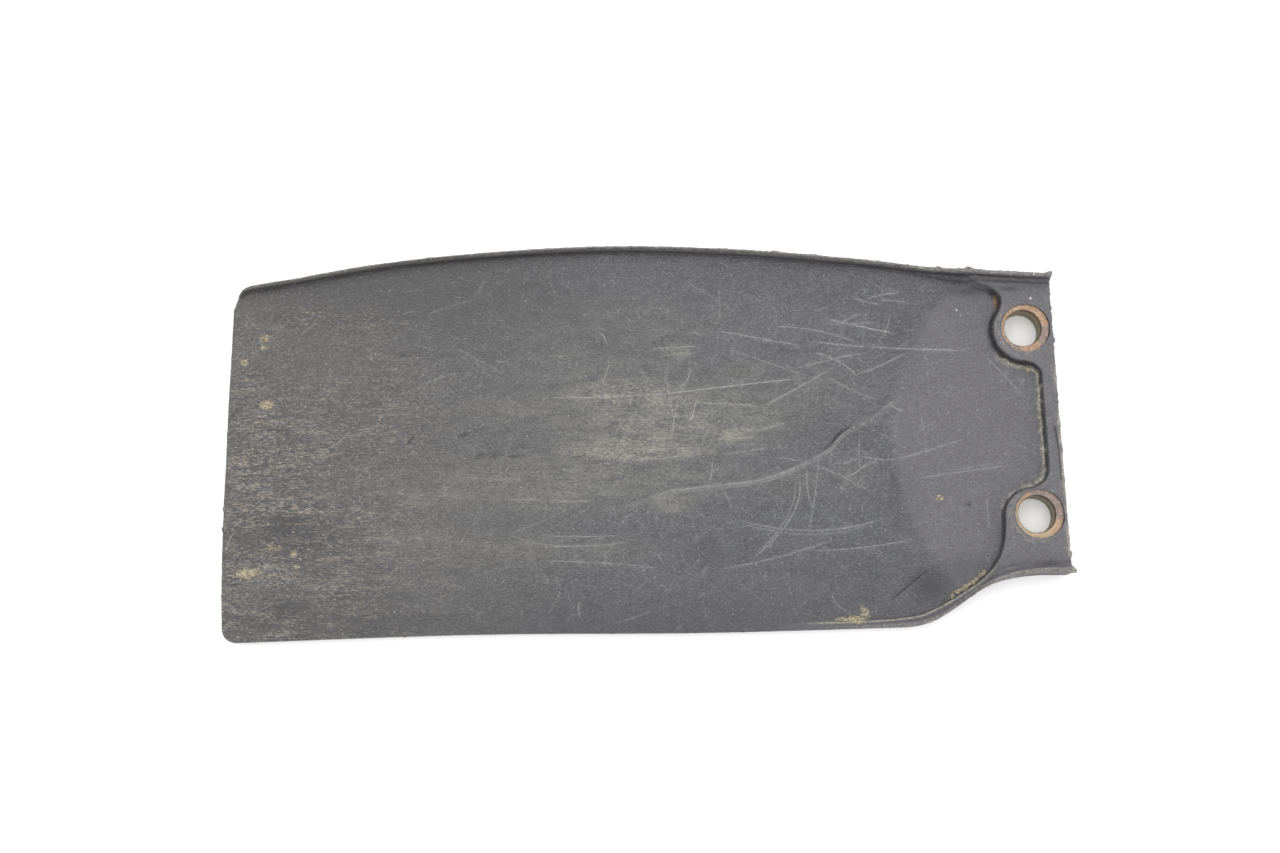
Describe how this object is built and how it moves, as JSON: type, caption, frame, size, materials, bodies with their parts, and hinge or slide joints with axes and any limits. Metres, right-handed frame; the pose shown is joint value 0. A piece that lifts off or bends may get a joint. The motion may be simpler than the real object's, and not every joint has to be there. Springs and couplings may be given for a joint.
{
  "type": "motorcycle rear shock flap",
  "caption": "Moulded rubber mud flap with lipped long edges and a thick mounting strip holding flanged steel collars, to shield the rear shock of an off-road motorcycle.",
  "frame": {"origin": "on the flat back face, midway between the two bolt-hole axes", "axes": "+Y along the line of the bolt holes; +Z out of the lipped outer face; -X from the mounting strip towards the free end"},
  "size_m": [0.2056, 0.0969, 0.009],
  "materials": {
    "flap_rubber": "matt, scuffed and dusty, with mud in the corners",
    "collar_steel": "yellow zinc plate, worn through to rust"
  },
  "bodies": {
    "root": {"rubber_flap": "flap_rubber", "upper_collar": "collar_steel", "lower_collar": "collar_steel"}
  },
  "joints": []
}
